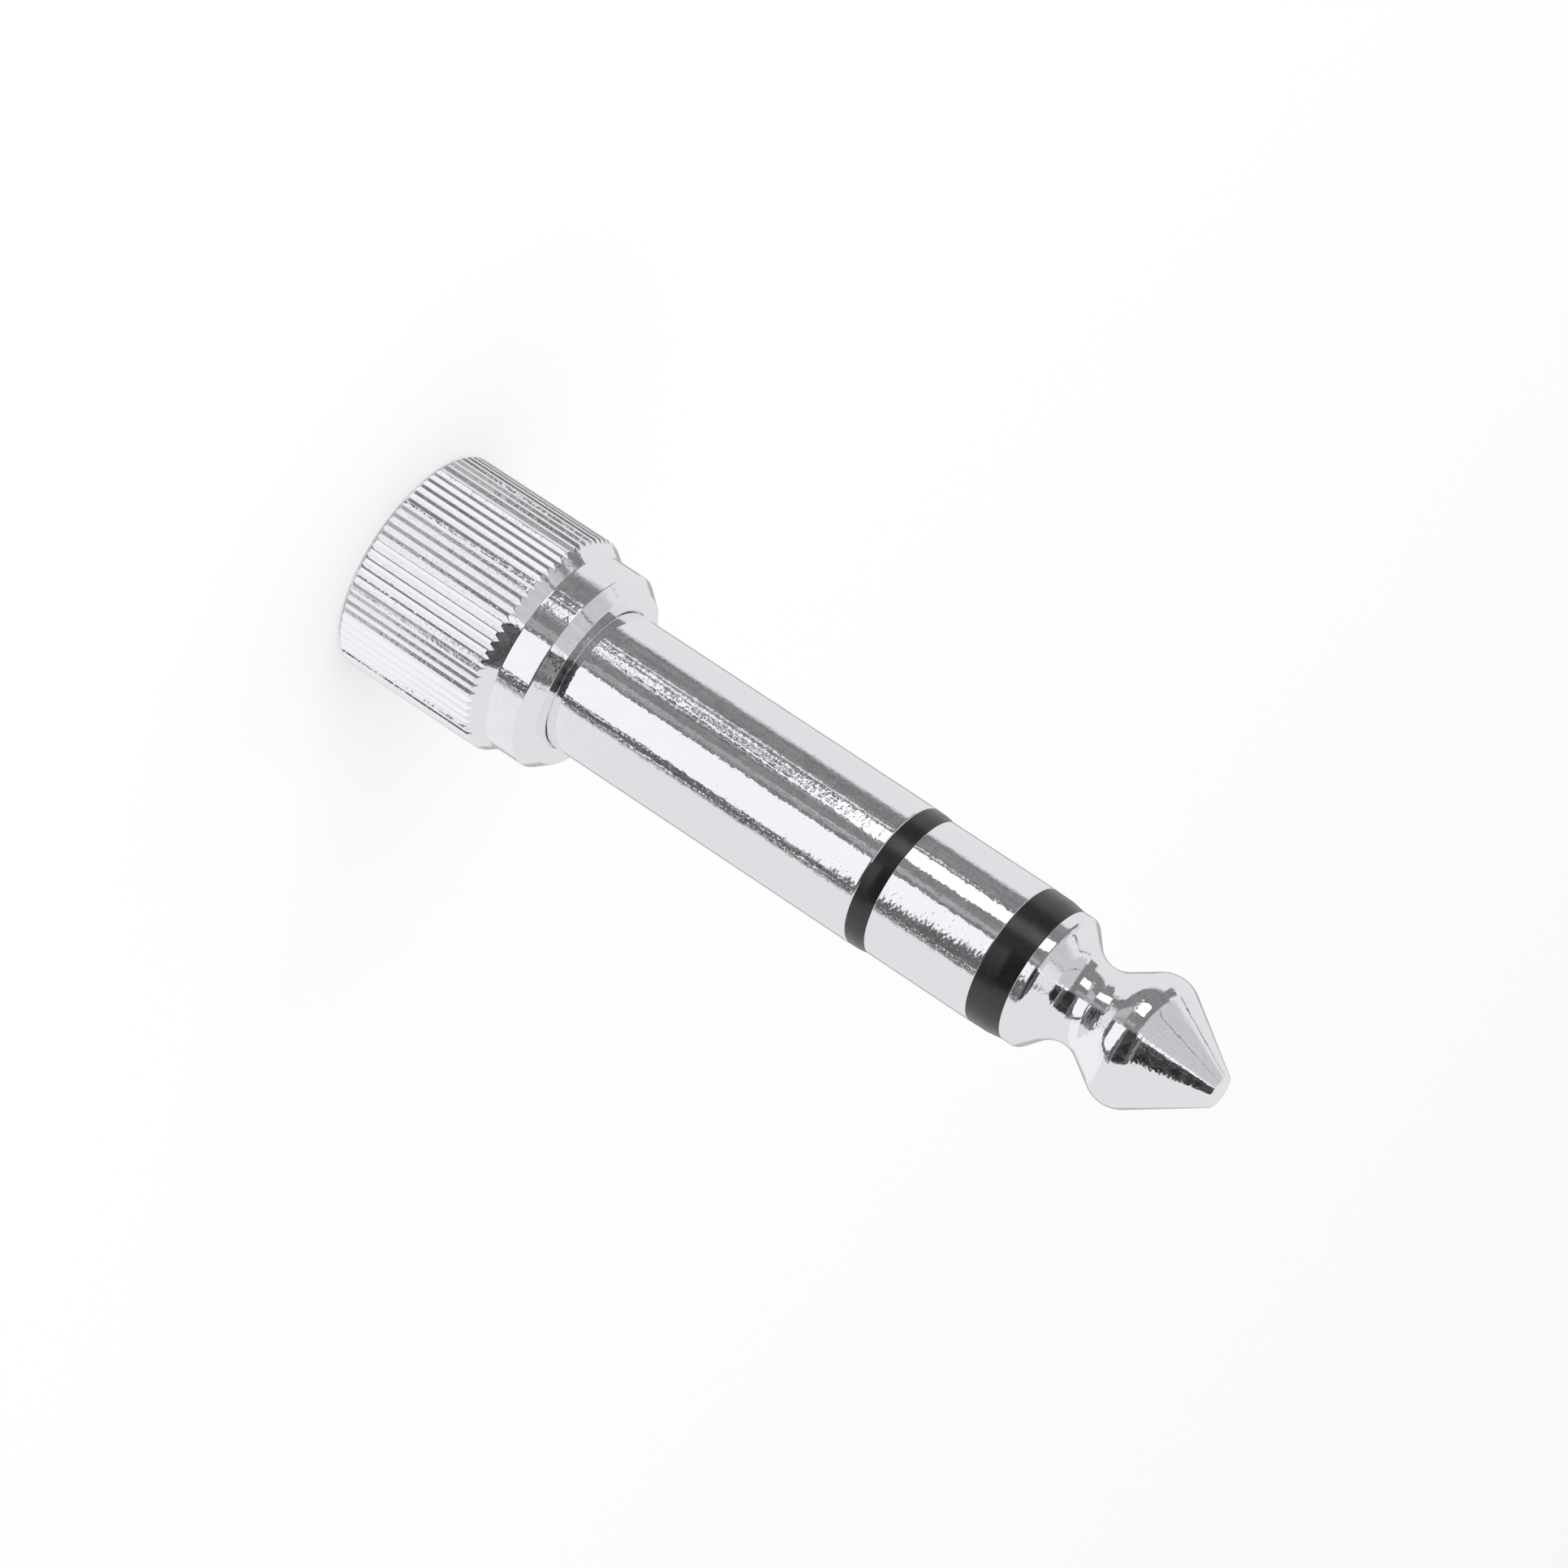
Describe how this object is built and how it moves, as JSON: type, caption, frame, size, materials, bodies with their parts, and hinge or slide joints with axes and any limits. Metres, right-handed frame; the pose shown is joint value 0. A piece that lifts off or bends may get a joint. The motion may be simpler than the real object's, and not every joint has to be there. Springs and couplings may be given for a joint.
{
  "type": "jack adapter",
  "caption": "Screw-on jack adapter: a 6.35 mm stereo plug with a 3.5 mm stereo socket in its knurled metal collar.",
  "frame": {"origin": "centre of the collar's rear face, the face with the screw mouth, on which the adapter stands", "axes": "+Z along the plug's axis, from the screw mouth to the tip; X and Y are alike, with the ring spring's leaf on the +X side"},
  "size_m": [0.0098, 0.0098, 0.0405],
  "materials": {
    "plated_collar": "bright nickel plate over knurled brass",
    "plated_contact": "bright nickel plate over turned brass",
    "black_insulator": "semi-gloss moulded black plastic",
    "bare_brass": "turned",
    "carrier_plastic": "moulded natural nylon",
    "spring_bronze": "stamped bronze sheet",
    "washer_board": "punched insulating board"
  },
  "bodies": {
    "root": {"knurled_collar": "plated_collar", "plug_sleeve": "plated_contact", "ring_contact": "plated_contact", "tip_contact": "plated_contact", "rear_insulator": "black_insulator", "front_insulator": "black_insulator", "socket_bush": "bare_brass", "contact_carrier": "carrier_plastic", "ring_spring": "spring_bronze", "tip_spring": "spring_bronze", "spring_washer": "washer_board", "sleeve_washer": "washer_board"}
  },
  "joints": []
}
